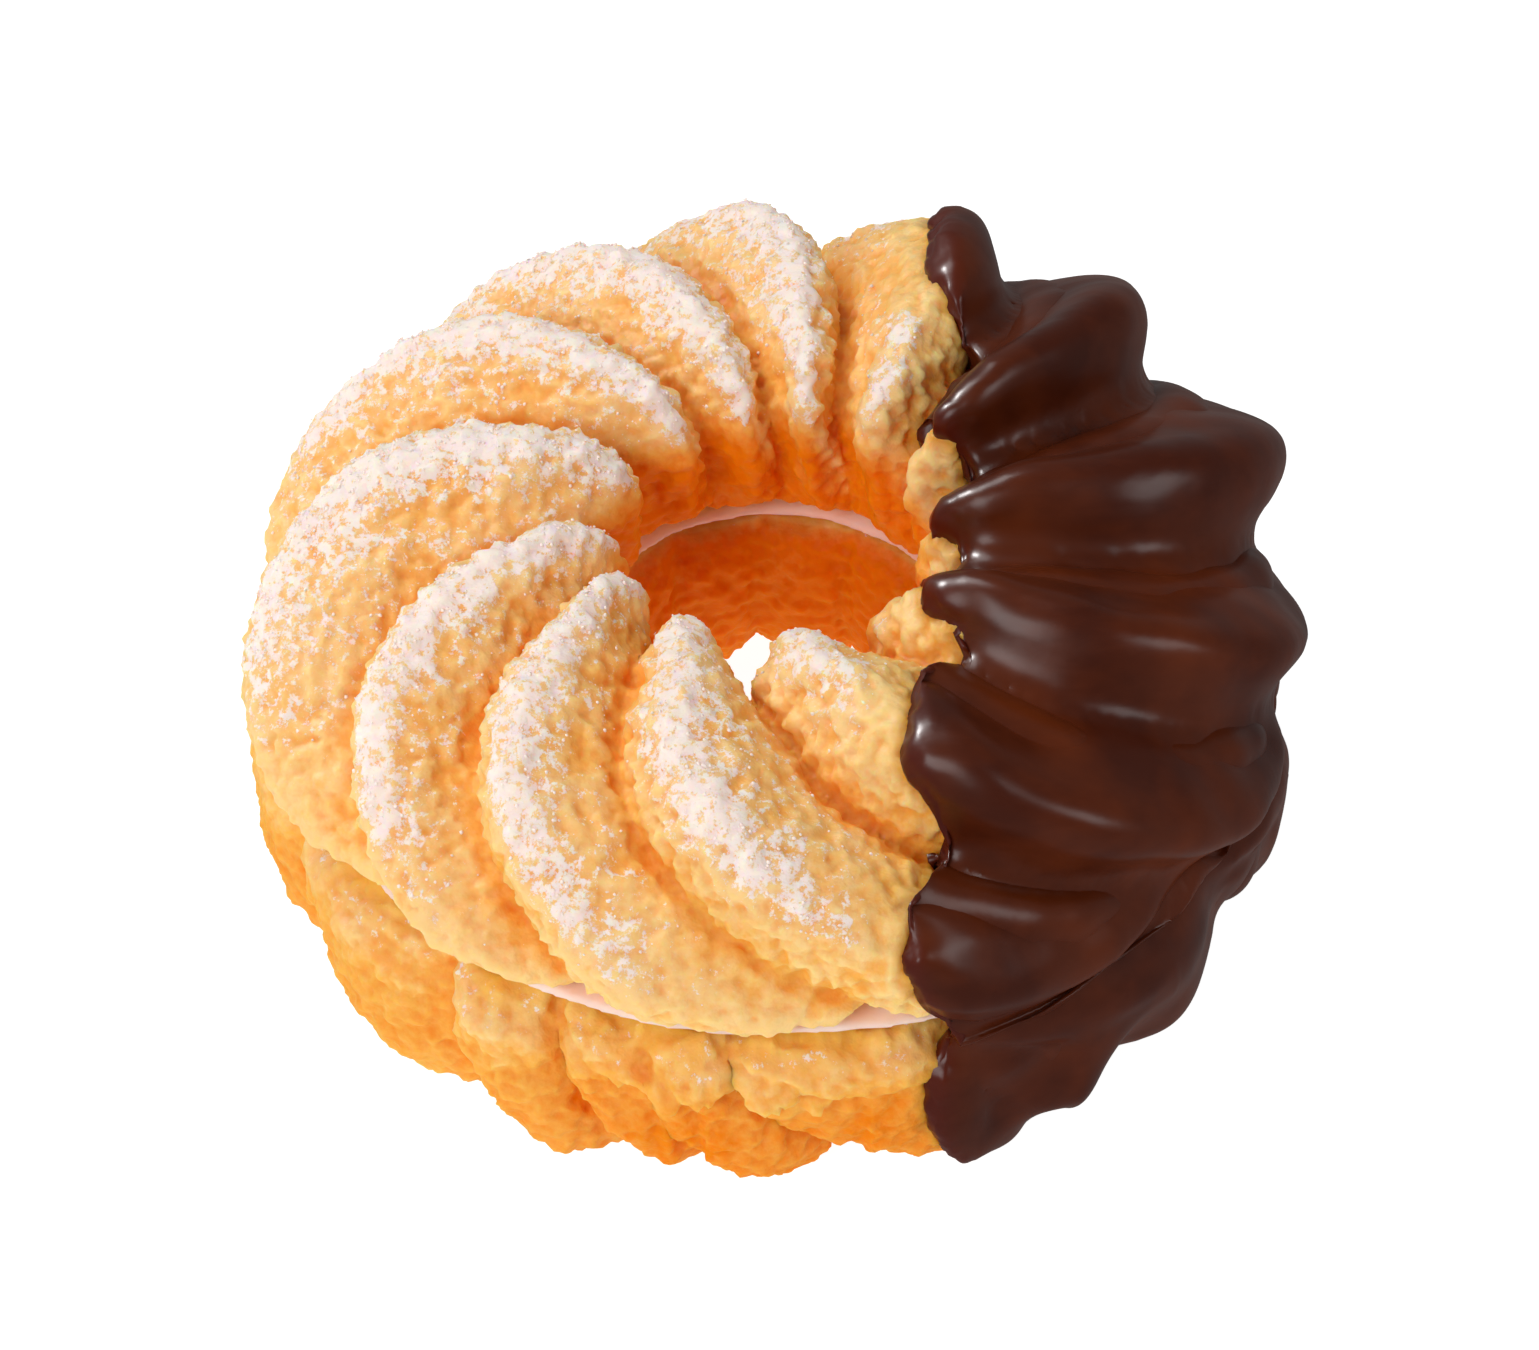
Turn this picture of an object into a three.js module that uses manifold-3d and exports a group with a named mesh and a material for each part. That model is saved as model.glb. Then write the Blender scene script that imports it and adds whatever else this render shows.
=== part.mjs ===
// A cruller doughnut, split across the middle and filled with a layer of whipped cream, with one side
// dipped in dark chocolate. Millimetres, +Z up. The dough is piped from a fluted nozzle, so its skin is
// a ring of plump lobes that run over the top from the hole and sweep round as they come down outside.
//
// The skin of each half is worked out from two cross-sections, one along the bottom of the creases and
// one along the crests, with a rounded lobe swelling from the first to the second between two creases.
import * as THREE from "three";
import { mergeVertices } from "three/addons/utils/BufferGeometryUtils.js";
import Module from "manifold-3d";

const wasm = await Module();
wasm.setup();

// Heights above the table
const CUT_LOW = 18.5; // top of the lower half
const CREAM = 2.5; // thickness of the filling
const CUT_HIGH = CUT_LOW + CREAM; // underside of the upper half

// Cross-sections of the upper half: radius at the hole, at the highest point and outside, and height
// above the cut. "lean" is how far the lobes' ends lean out over the hole.
const UPPER = {
  crease: { hole: 15.2, peak: 21, outside: 37.8, height: 11.6, lean: 0 },
  crest: { hole: 13.7, peak: 21, outside: 42.3, height: 17.2, lean: 3 },
  holeSide: 2.8, // squareness of the hole side, where 2 is round
  outerSide: 2.3,
  tuck: 0, // how much the half narrows right beside its cut
};
// The same for the lower half, as depths below its cut. The lobes are pressed flat on the table.
const LOWER = {
  crease: { hole: 15, peak: 27, outside: 39, height: 17.2, lean: 0 },
  crest: { hole: 13.7, peak: 27, outside: 42.3, height: 19.8, lean: 0 },
  holeSide: 3.4,
  outerSide: 3.2,
  tuck: 1.1,
};

// The upper lobes, anticlockwise from above. "edge" is the azimuth on top of the crease before the lobe,
// "sweep" how far that crease has turned where it meets the cut, both in degrees, and "depth" how deep
// it is as a share of the usual. "swell" is the lobe's height as a share of the usual, and "reach" its
// extra radius outside.
const UPPER_LOBES = [
  { edge: 20, sweep: 29, depth: 1.0, swell: 1.13, reach: 0.7 },
  { edge: 46, sweep: 28, depth: 1.0, swell: 1.1, reach: 1.0 },
  { edge: 77, sweep: 22, depth: 1.0, swell: 1.04, reach: 0.8 },
  { edge: 99, sweep: 26, depth: 0.8, swell: 0.98, reach: 0.2 },
  { edge: 123, sweep: 34, depth: 0.9, swell: 1.0, reach: 0.2 },
  { edge: 151, sweep: 40, depth: 1.0, swell: 1.0, reach: 0.8 },
  { edge: 190, sweep: 39, depth: 1.1, swell: 1.0, reach: -0.4 },
  { edge: 216, sweep: 36, depth: 1.0, swell: 1.03, reach: -0.8 },
  { edge: 239, sweep: 45, depth: 0.8, swell: 1.03, reach: -0.4 },
  { edge: 270, sweep: 56, depth: 1.25, swell: 1.04, reach: -0.5 },
  { edge: 309, sweep: 44, depth: 0.8, swell: 1.0, reach: -1.4 },
  { edge: 346, sweep: 33, depth: 0.9, swell: 1.04, reach: 0.8 },
];
// The lower lobes, with "edge" the azimuth of the crease at the cut.
const LOWER_LOBES = [
  { edge: 24, sweep: 15, depth: 1.0, swell: 1, reach: 0 },
  { edge: 52, sweep: 15, depth: 1.0, swell: 1, reach: 0 },
  { edge: 80, sweep: 15, depth: 1.0, swell: 1, reach: 0 },
  { edge: 108, sweep: 15, depth: 1.0, swell: 1, reach: 0 },
  { edge: 138, sweep: 15, depth: 1.0, swell: 1, reach: 0 },
  { edge: 169, sweep: 15, depth: 0.8, swell: 1, reach: 1.7 },
  { edge: 199, sweep: 15, depth: 0.9, swell: 1, reach: 1.3 },
  { edge: 230, sweep: 10, depth: 1.0, swell: 1, reach: 1.6 },
  { edge: 244, sweep: 12, depth: 1.2, swell: 1, reach: 0.1 },
  { edge: 256, sweep: 7, depth: 0.6, swell: 1, reach: 0.3 },
  { edge: 263, sweep: 18, depth: 1.3, swell: 1, reach: -0.2 },
  { edge: 289, sweep: 15, depth: 1.1, swell: 1, reach: -0.3 },
  { edge: 327, sweep: 16, depth: 1.0, swell: 1, reach: 0 },
  { edge: 356, sweep: 15, depth: 1.0, swell: 1, reach: 0.4 },
];
const LOBE_LEAN = 0.8; // below 1, the crest lies nearer to the crease before
const LOBE_ROUND = 0.52; // how plump a lobe is, from 1 for a wave to 0 for a block
const TURN_RIM = -6; // turn of the upper creases at the rim of the hole, in degrees
const TURN_WALL = -14; // and where they meet the cut inside the hole
const TURN_BEND = 1.8; // how late along the section the upper creases turn
const LOWER_TURN = 3.5; // how early the lower creases have turned fully
const TUCK_SHARPNESS = 30; // how close to the cut the tuck stays
const RIM = Math.PI / 4; // place of the rim of the hole along a section

// The filling: a ring of cream with a round, slightly wavy edge
const CREAM_HOLE = 15.4;
const CREAM_OUTSIDE = 38.4;
const CREAM_ROUND = 0.5;
const CREAM_WAVES = [
  { count: 1, height: 1.1, phase: 175 }, // squeezed out towards the front
  { count: 5, height: 0.3, phase: 40 },
  { count: 11, height: 0.25, phase: 120 },
];

// The chocolate: thickness on the dough, in the cut and over the cream
const COAT = { skin: 1.4, inCut: 0.75, overCream: 1 };
// The ring was dipped standing on its side, up to a line that creeps back along each upper lobe: its
// distance from the middle of the ring at the near and the far side of a lobe, where across the lobe
// the tip lies, how the line slants from front to back, and where it ends low down on the lower half.
const DIP = { near: 13.6, far: 10.2, tip: 0.85, skew: 0.055, straightAt: 20, low: 16, lowHeight: 10 };
// The wall of the hole stays bare up to a height over the cut.
const DIP_WALL = { line: 17.5, halfWidth: 6, height: 12, fade: 3 };
const DIP_BLOCK = { far: 60, width: 52, bottom: -2, top: 46, ySteps: 70, zSteps: 24 };
const UNDERSIDE_LIFT = 1.3; // room for chocolate under the dipped side
const LIFT_SLOPE = 4; // width over which the underside rises to it
const GAP = 0.3; // between neighbouring pieces

// How finely the skins are cut: places across one lobe, from crease to crease, and along a section
const ACROSS_UPPER = [0, 0.04, 0.12, 0.25, 0.42, 0.6, 0.78, 0.92];
const ACROSS_LOWER = [0, 0.05, 0.17, 0.36, 0.58, 0.79, 0.93];
const ACROSS_COAT = [0, 0.05, 0.2, 0.42, 0.65, 0.88];
const ROWS = { upper: 18, lower: 12 };
const ROWS_COAT = { upper: 14, lower: 10 };
const CUT_ROWS = 2;
const CREAM_STEPS = 72;

const mix = (a, b, share) => a + (b - a) * share;
const clamp = (value) => Math.min(1, Math.max(0, value));
const radians = (degrees) => (degrees * Math.PI) / 180;
const smooth = (share) => clamp(share) * clamp(share) * (3 - 2 * clamp(share));

// Radius and height of a section at an angle: 0 at the hole, a quarter turn on top, a half turn outside.
function sectionPoint(half, section, grow, angle) {
  const towardsHole = angle < Math.PI / 2;
  const roundness = 2 / (towardsHole ? half.holeSide : half.outerSide);
  const along = Math.pow(Math.abs(Math.cos(angle)), roundness);
  const up = Math.pow(Math.max(0, Math.sin(angle)), roundness);
  const lean = section.lean * Math.pow(Math.sin(2 * angle), 2);
  const edge = towardsHole ? section.hole - grow - lean : section.outside + grow;
  return { radius: mix(section.peak, edge, along), height: (section.height + grow) * up };
}

// How far the creases have turned at an angle along the section, in degrees.
function upperTurn(sweep, angle) {
  if (angle < RIM) return mix(TURN_WALL, TURN_RIM, angle / RIM);
  return mix(TURN_RIM, sweep, Math.pow((angle - RIM) / (Math.PI - RIM), TURN_BEND));
}
const lowerTurn = (sweep, angle) => sweep * Math.min(1, LOWER_TURN * (1 - angle / Math.PI));

// The rise of a lobe from crease to crease, steeper where it lies over the lobe before.
const rise = (across) => Math.pow(Math.sin(Math.PI * Math.pow(across, LOBE_LEAN)), LOBE_ROUND);

// A place on the skin of a half that is grown outwards by a distance.
function skinPoint(half, lobes, turn, index, across, angle, grow) {
  const lobe = lobes[index];
  const next = lobes[(index + 1) % lobes.length];
  const nextEdge = next.edge + (index + 1 === lobes.length ? 360 : 0);
  const azimuth = mix(lobe.edge, nextEdge, across) + turn(mix(lobe.sweep, next.sweep, across), angle);
  const ridge = 1 - (1 - rise(across)) * mix(lobe.depth, next.depth, across);
  const low = sectionPoint(half, half.crease, grow, angle);
  const high = sectionPoint(half, half.crest, grow, angle);
  const full = clamp(ridge);
  const outwards = Math.max(0, -Math.cos(angle));
  const reach = lobe.reach * outwards * full - half.tuck * Math.pow(outwards, TUCK_SHARPNESS);
  return {
    radius: mix(low.radius, high.radius, ridge) + reach,
    azimuth: radians(azimuth),
    height: mix(low.height, high.height, ridge) * mix(1, lobe.swell, full),
  };
}

// A closed mesh from columns of points that close on themselves both ways.
function closedGrid(columns, upwards) {
  const rows = columns[0].length;
  const faces = [];
  columns.forEach((column, c) => {
    const after = ((c + 1) % columns.length) * rows;
    column.forEach((_, r) => {
      const a = c * rows + r;
      const b = c * rows + ((r + 1) % rows);
      const d = after + r;
      const e = after + ((r + 1) % rows);
      if (upwards) faces.push(a, b, e, a, e, d);
      else faces.push(a, e, b, a, d, e);
    });
  });
  const positions = columns.flat().flatMap((p) => [
    p.radius * Math.cos(p.azimuth),
    p.radius * Math.sin(p.azimuth),
    p.z,
  ]);
  const geometry = new THREE.BufferGeometry();
  geometry.setAttribute("position", new THREE.Float32BufferAttribute(positions, 3));
  geometry.setIndex(faces);
  return geometry;
}

// The skin of a half, closed by its flat cut face, which may be moved out of the dough by a distance.
// "fineness" holds the number of places along a section and the places across a lobe, and "level" turns
// a place on a section into its z.
function halfSkin({ half, lobes, turn, fineness, grow, cutGrow, cutLevel, level }) {
  const { rows, across } = fineness;
  const columns = lobes.flatMap((_, index) =>
    across.map((share) => {
      const column = [];
      for (let row = 0; row <= rows; row++) {
        const p = skinPoint(half, lobes, turn, index, share, (Math.PI * row) / rows, grow);
        column.push({ ...p, z: level(p) });
      }
      const first = column[0];
      const last = column[rows];
      const inset = cutGrow > 0 ? 0 : 1;
      for (let row = inset; row <= CUT_ROWS + 1 - inset; row++) {
        const back = row / (CUT_ROWS + 1);
        column.push({
          radius: mix(last.radius, first.radius, back),
          azimuth: mix(last.azimuth, first.azimuth, back),
          z: cutLevel,
        });
      }
      return column;
    }),
  );
  return closedGrid(columns, half === UPPER);
}

const FINE = {
  upper: { rows: ROWS.upper, across: ACROSS_UPPER },
  lower: { rows: ROWS.lower, across: ACROSS_LOWER },
};
const COARSE = {
  upper: { rows: ROWS_COAT.upper, across: ACROSS_COAT },
  lower: { rows: ROWS_COAT.lower, across: ACROSS_COAT },
};

function upperSkin(fineness, grow = 0, cutGrow = 0) {
  return halfSkin({
    half: UPPER,
    lobes: UPPER_LOBES,
    turn: upperTurn,
    fineness,
    grow,
    cutGrow,
    cutLevel: CUT_HIGH - cutGrow,
    level: (p) => CUT_HIGH + p.height,
  });
}

// The underside of the dipped part is lifted off the table by the thickness of its chocolate.
function lowerSkin(fineness, lift, grow = 0, cutGrow = 0) {
  const floor = (p) => lift * smooth((p.radius * Math.cos(p.azimuth) - DIP.far) / LIFT_SLOPE);
  return halfSkin({
    half: LOWER,
    lobes: LOWER_LOBES,
    turn: lowerTurn,
    fineness,
    grow,
    cutGrow,
    cutLevel: CUT_LOW + cutGrow,
    level: (p) => Math.max(floor(p), CUT_LOW - p.height),
  });
}

// The ring of cream, grown sideways by one distance and up and down by another.
function creamSkin(round, grow = 0, growFlat = 0) {
  const low = CUT_LOW + GAP - growFlat;
  const high = CUT_HIGH - GAP + growFlat;
  const middle = (low + high) / 2;
  const hole = CREAM_HOLE - grow;
  const columns = Array.from({ length: CREAM_STEPS }, (_, step) => {
    const azimuth = (2 * Math.PI * step) / CREAM_STEPS;
    const wave = CREAM_WAVES.reduce(
      (sum, { count, height, phase }) => sum + height * Math.sin(count * azimuth + radians(phase)),
      0,
    );
    const outside = CREAM_OUTSIDE + wave + grow;
    return [
      { radius: outside - round, azimuth, z: low },
      { radius: outside, azimuth, z: middle },
      { radius: outside - round, azimuth, z: high },
      { radius: hole + round, azimuth, z: high },
      { radius: hole, azimuth, z: middle },
      { radius: hole + round, azimuth, z: low },
    ];
  });
  return closedGrid(columns, false);
}

// Where a place in the upper half lies across its lobe, from 0 to 1.
function acrossAt(x, y, height) {
  const radius = Math.hypot(x, y);
  const azimuth = (Math.atan2(y, x) * 180) / Math.PI;
  const { hole, peak, outside, height: top } = UPPER.crest;
  const towardsHole = radius < peak;
  const side = (towardsHole ? UPPER.holeSide : UPPER.outerSide) / 2;
  const along = clamp(towardsHole ? (peak - radius) / (peak - hole) : (radius - peak) / (outside - peak));
  const fromHole = Math.atan2(Math.pow(clamp(height / top), side), Math.pow(along, side));
  const angle = towardsHole ? fromHole : Math.PI - fromHole;
  const edges = UPPER_LOBES.map((lobe) => lobe.edge + upperTurn(lobe.sweep, angle));
  const shares = edges.flatMap((from, i) => {
    const to = i + 1 < edges.length ? edges[i + 1] : edges[0] + 360;
    return [-360, 0, 360].map((turn) => (azimuth + turn - from) / (to - from));
  });
  return shares.find((share) => share >= 0 && share < 1) ?? 0;
}

// The line that the chocolate reaches, as a distance from the middle of the ring.
function dipLine(y, z) {
  const skew = DIP.skew * (y + DIP.straightAt);
  const beside = smooth((DIP_WALL.halfWidth - Math.abs(y)) / DIP_WALL.halfWidth + 0.5);
  if (z < (CUT_LOW + CUT_HIGH) / 2) {
    const line = mix(DIP.low, DIP.near, smooth(z / DIP.lowHeight)) + skew;
    return mix(line, DIP_WALL.line, beside);
  }
  const share = acrossAt(DIP.near, y, z - CUT_HIGH);
  const tooth = share < DIP.tip ? share / DIP.tip : (1 - share) / (1 - DIP.tip);
  const below = smooth((CUT_HIGH + DIP_WALL.height - z) / DIP_WALL.fade);
  return mix(mix(DIP.near, DIP.far, smooth(tooth)) + skew, DIP_WALL.line, beside * below);
}

// Everything beyond that line, as a block with a wavy face.
function dippedSide() {
  const { far, width, bottom, top, ySteps, zSteps } = DIP_BLOCK;
  const places = [];
  for (let i = 0; i <= ySteps; i++)
    for (let k = 0; k <= zSteps; k++)
      places.push({ y: mix(-width, width, i / ySteps), z: mix(bottom, top, k / zSteps) });
  const positions = [
    ...places.flatMap(({ y, z }) => [dipLine(y, z), y, z]),
    ...places.flatMap(({ y, z }) => [far, y, z]),
  ];
  const faces = [];
  const quad = (a, b, c, d) => faces.push(a, b, c, a, c, d);
  const front = (i, k) => i * (zSteps + 1) + k;
  const back = (i, k) => places.length + front(i, k);
  for (let i = 0; i < ySteps; i++)
    for (let k = 0; k < zSteps; k++) {
      quad(front(i, k), front(i, k + 1), front(i + 1, k + 1), front(i + 1, k));
      quad(back(i, k), back(i + 1, k), back(i + 1, k + 1), back(i, k + 1));
    }
  for (let i = 0; i < ySteps; i++) {
    quad(front(i, 0), front(i + 1, 0), back(i + 1, 0), back(i, 0));
    quad(front(i, zSteps), back(i, zSteps), back(i + 1, zSteps), front(i + 1, zSteps));
  }
  for (let k = 0; k < zSteps; k++) {
    quad(front(0, k), back(0, k), back(0, k + 1), front(0, k + 1));
    quad(front(ySteps, k), front(ySteps, k + 1), back(ySteps, k + 1), back(ySteps, k));
  }
  const geometry = new THREE.BufferGeometry();
  geometry.setAttribute("position", new THREE.Float32BufferAttribute(positions, 3));
  geometry.setIndex(faces);
  return geometry;
}

// Manifold solids, and back to three.js
function solidOf(geometry) {
  const merged = mergeVertices(geometry, 1e-4);
  return new wasm.Manifold(
    new wasm.Mesh({
      numProp: 3,
      vertProperties: merged.attributes.position.array,
      triVerts: new Uint32Array(merged.index.array),
    }),
  );
}

function geometryOf(solid) {
  const mesh = solid.getMesh();
  const positions = new Float32Array(mesh.numVert * 3);
  for (let i = 0; i < mesh.numVert; i++)
    for (let k = 0; k < 3; k++) positions[i * 3 + k] = mesh.vertProperties[i * mesh.numProp + k];
  const geometry = new THREE.BufferGeometry();
  geometry.setAttribute("position", new THREE.BufferAttribute(positions, 3));
  geometry.setIndex(new THREE.BufferAttribute(mesh.triVerts, 1));
  return geometry;
}

const joined = (geometries) => geometries.map(solidOf).reduce((sum, solid) => sum.add(solid));

// The coat is what the dipped side adds to the ring, less the thin gap round the pieces it lies on.
// Specks that the cut leaves loose are dropped.
function chocolateCoat() {
  const coated = joined([
    upperSkin(COARSE.upper, COAT.skin, COAT.inCut),
    lowerSkin(COARSE.lower, 0, COAT.skin, COAT.inCut),
    creamSkin(0, COAT.skin, COAT.overCream),
  ]);
  const bare = joined([
    upperSkin(FINE.upper, GAP, GAP),
    lowerSkin(FINE.lower, UNDERSIDE_LIFT - GAP, GAP, GAP),
    creamSkin(0, GAP, GAP),
  ]);
  const pieces = coated.intersect(solidOf(dippedSide())).subtract(bare).decompose();
  return geometryOf(pieces.reduce((a, b) => (a.volume() > b.volume() ? a : b)));
}

const LOOKS = {
  upperDough: { color: 0xf0b866, roughness: 0.7, metalness: 0 },
  lowerDough: { color: 0xe3a04e, roughness: 0.7, metalness: 0 },
  cream: { color: 0xf3d8ce, roughness: 0.55, metalness: 0 },
  chocolate: { color: 0x41201a, roughness: 0.3, metalness: 0 },
};

function piece(name, geometry, look) {
  const mesh = new THREE.Mesh(geometry, new THREE.MeshStandardMaterial(look));
  mesh.name = name;
  return mesh;
}

const cruller = new THREE.Group();
cruller.add(
  piece("upper_half", upperSkin(FINE.upper), LOOKS.upperDough),
  piece("lower_half", lowerSkin(FINE.lower, UNDERSIDE_LIFT), LOOKS.lowerDough),
  piece("cream_layer", creamSkin(CREAM_ROUND), LOOKS.cream),
  piece("chocolate_coat", chocolateCoat(), LOOKS.chocolate),
);

// The origin is the middle of the underside
const box = new THREE.Box3().setFromObject(cruller);
const middle = box.getCenter(new THREE.Vector3());
cruller.children.forEach((mesh) => mesh.geometry.translate(-middle.x, -middle.y, -box.min.z));

export default cruller;
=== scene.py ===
import math

import bpy
import numpy as np
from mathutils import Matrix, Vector, noise
from mathutils.bvhtree import BVHTree


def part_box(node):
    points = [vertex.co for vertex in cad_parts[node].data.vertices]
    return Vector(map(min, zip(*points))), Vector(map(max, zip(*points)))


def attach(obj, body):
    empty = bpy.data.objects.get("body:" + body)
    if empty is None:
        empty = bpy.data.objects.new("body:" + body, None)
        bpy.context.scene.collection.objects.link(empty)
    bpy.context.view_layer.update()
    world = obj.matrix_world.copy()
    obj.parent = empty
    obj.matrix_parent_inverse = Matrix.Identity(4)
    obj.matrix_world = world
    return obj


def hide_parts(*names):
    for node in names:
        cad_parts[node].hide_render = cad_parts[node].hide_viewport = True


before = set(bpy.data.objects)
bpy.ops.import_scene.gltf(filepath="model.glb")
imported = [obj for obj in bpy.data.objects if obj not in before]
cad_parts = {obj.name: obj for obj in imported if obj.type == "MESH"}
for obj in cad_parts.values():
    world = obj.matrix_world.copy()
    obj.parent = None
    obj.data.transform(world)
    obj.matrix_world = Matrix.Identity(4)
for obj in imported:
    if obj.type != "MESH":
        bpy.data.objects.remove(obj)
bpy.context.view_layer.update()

# The camera looks down at the front of the ring, as over a table, with the chocolate to the right.
# Its place comes from the photograph's own perspective: 300 mm from the middle of the ring.
MM = 0.001
RING_MIDDLE = Vector((0.0, 0.0, 19.75)) * MM
CAMERA_AWAY = 300 * MM
LOOK_DOWN = math.radians(47.0)
AIM_LOWER = math.radians(0.5)
bpy.ops.object.select_all(action="DESELECT")
bpy.ops.object.camera_add(
    location=RING_MIDDLE + Vector((0.0, -math.cos(LOOK_DOWN), math.sin(LOOK_DOWN))) * CAMERA_AWAY,
    rotation=(math.radians(90) - LOOK_DOWN - AIM_LOWER, 0.0, 0.0),
)
camera = bpy.context.active_object
camera.name = "camera"
camera.data.lens = 86.1
camera.data.sensor_width = 36.0
camera.data.clip_start = 10 * MM
camera.data.clip_end = 10.0
bpy.context.scene.camera = camera

# The dipped side: one coat of dark chocolate over both halves, poured on by dipping and set hard.
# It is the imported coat, remeshed finely and levelled as liquid chocolate levels before it sets.
def pick(piece):
    """Selects one piece alone, so that an operator acts on nothing else."""
    bpy.ops.object.select_all(action="DESELECT")
    piece.select_set(True)
    bpy.context.view_layer.objects.active = piece


def modify(piece, kind, group=None, **settings):
    """Adds a modifier to a piece, sets it and applies it."""
    pick(piece)
    modifier = piece.modifiers.new(kind.lower(), kind)
    for key, value in settings.items():
        setattr(modifier, key, value)
    if group:
        modifier.vertex_group = group
    bpy.ops.object.modifier_apply(modifier=modifier.name)


def copy_of(node, name):
    """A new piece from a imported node's mesh, its loose triangles merged into one skin."""
    piece = bpy.data.objects.new(name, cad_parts[node].data.copy())
    bpy.context.collection.objects.link(piece)
    piece.data.materials.clear()
    pick(piece)
    bpy.ops.object.mode_set(mode="EDIT")
    bpy.ops.mesh.select_all(action="SELECT")
    bpy.ops.mesh.remove_doubles(threshold=0.001 * MM)
    bpy.ops.mesh.tris_convert_to_quads(face_threshold=math.radians(50), shape_threshold=math.radians(50))
    bpy.ops.object.mode_set(mode="OBJECT")
    return piece


def remesh(piece, cell):
    """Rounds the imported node's facets and gives its skin an even mesh of square cells."""
    modify(piece, "SUBSURF", levels=2, render_levels=2)
    modify(piece, "REMESH", mode="VOXEL", voxel_size=cell * MM)


def shape_of(piece):
    """A mesh's points and normals, as rows of numbers."""
    count = len(piece.data.vertices)
    points = np.empty(count * 3, np.float32)
    normals = np.empty(count * 3, np.float32)
    piece.data.vertices.foreach_get("co", points)
    piece.data.vertices.foreach_get("normal", normals)
    return points.reshape(-1, 3).astype(float), normals.reshape(-1, 3).astype(float)


def reshape(piece, points):
    """Moves a mesh's points, and keeps them above the table."""
    points[:, 2] = np.maximum(points[:, 2], 0.0)
    piece.data.vertices.foreach_set("co", points.astype(np.float32).ravel())
    piece.data.update()


def neighbours(piece):
    """A mesh's edges, as pairs of point numbers."""
    edges = np.empty(len(piece.data.edges) * 2, np.int32)
    piece.data.edges.foreach_get("vertices", edges)
    return edges.reshape(-1, 2)


def averaged(values, edges, rounds):
    """Values at the points of a mesh, blended with those of their neighbours again and again."""
    first, second = edges[:, 0], edges[:, 1]
    count = len(values)
    share = np.bincount(first, minlength=count) + np.bincount(second, minlength=count)
    columns = values.reshape(count, -1).copy()
    for _ in range(rounds):
        for column in range(columns.shape[1]):
            now = columns[:, column]
            total = np.bincount(first, now[second], count) + np.bincount(second, now[first], count)
            columns[:, column] = 0.4 * now + 0.6 * total / share
    return columns.reshape(values.shape)


def store(piece, name, values):
    """Keeps one value for each point of a mesh, for its material to read."""
    attribute = piece.data.attributes.new(name, "FLOAT", "POINT")
    attribute.data.foreach_set("value", np.clip(values, 0.0, 1.0).astype(np.float32))


def ease(values, low, high):
    """0 below low, 1 above high, and a soft step between."""
    share = np.clip((values - low) / (high - low), 0.0, 1.0)
    return share * share * (3 - 2 * share)


def bumps(points, size, octaves=1, seed=0):
    """Smooth noise from about -1 to 1, with features of a size in mm."""
    shift = Vector((seed * 13.7, seed * -7.3, seed * 5.1))
    scale = 1 / (size * MM)
    return np.array([noise.fractal(Vector(p) * scale + shift, 1.0, 2.0, octaves) for p in points])


def linear(colour):
    """An sRGB hex colour as linear red, green, blue and opacity."""
    channels = [int(colour[i : i + 2], 16) / 255 for i in (1, 3, 5)]
    curve = [c / 12.92 if c <= 0.04045 else ((c + 0.055) / 1.055) ** 2.4 for c in channels]
    return (*curve, 1.0)


def per_mm(size):
    """The scale of a pattern whose features are a size in mm."""
    return 1 / (size * MM)


def material_named(name):
    """A new material without nodes."""
    material = bpy.data.materials.new(name)
    material.use_nodes = True
    material.node_tree.nodes.clear()
    return material


def add(material, kind, inputs=(), **settings):
    """Adds a node to a material, sets it, and gives its sockets values or links."""
    made = material.node_tree.nodes.new("ShaderNode" + kind)
    for key, value in settings.items():
        setattr(made, key, value)
    for socket, value in dict(inputs).items():
        if isinstance(value, bpy.types.NodeSocket):
            material.node_tree.links.new(value, made.inputs[socket])
        else:
            made.inputs[socket].default_value = value
    return made


# The ring's axis, the level of the two cuts, and each crease between two lobes as its azimuth on top
# and how far it turns on its way down, in degrees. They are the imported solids' own.
AXIS_Y = -0.85
CUT_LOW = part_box("lower_half")[1].z / MM
CUT_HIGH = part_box("upper_half")[0].z / MM
CREAM_LEVEL = (CUT_LOW + CUT_HIGH) / 2
UPPER_CREASES = (
    (20, 29), (46, 28), (77, 22), (99, 26), (123, 34), (151, 40),
    (190, 39), (216, 36), (239, 45), (270, 56), (309, 44), (346, 33),
)
LOWER_CREASES = (
    (24, 15), (52, 15), (80, 15), (108, 15), (138, 15), (169, 15), (199, 15),
    (230, 10), (244, 12), (256, 7), (263, 18), (289, 15), (327, 16), (356, 15),
)


def round_ring(points):
    """Distance from the ring's axis, azimuth in degrees and height, in mm."""
    x, y, z = points.T / MM
    return np.hypot(x, y - AXIS_Y), np.degrees(np.arctan2(y - AXIS_Y, x)), z


def share_between(azimuth, starts):
    """Where an azimuth lies between two creases, from 0 to 1."""
    share = np.zeros(len(azimuth))
    for k, start in enumerate(starts):
        end = starts[k + 1] if k + 1 < len(starts) else starts[0] + 360
        for turn in (-360, 0, 360):
            here = (azimuth + turn - start) / (end - start)
            share = np.where((here >= 0) & (here < 1), here, share)
    return share


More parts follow.
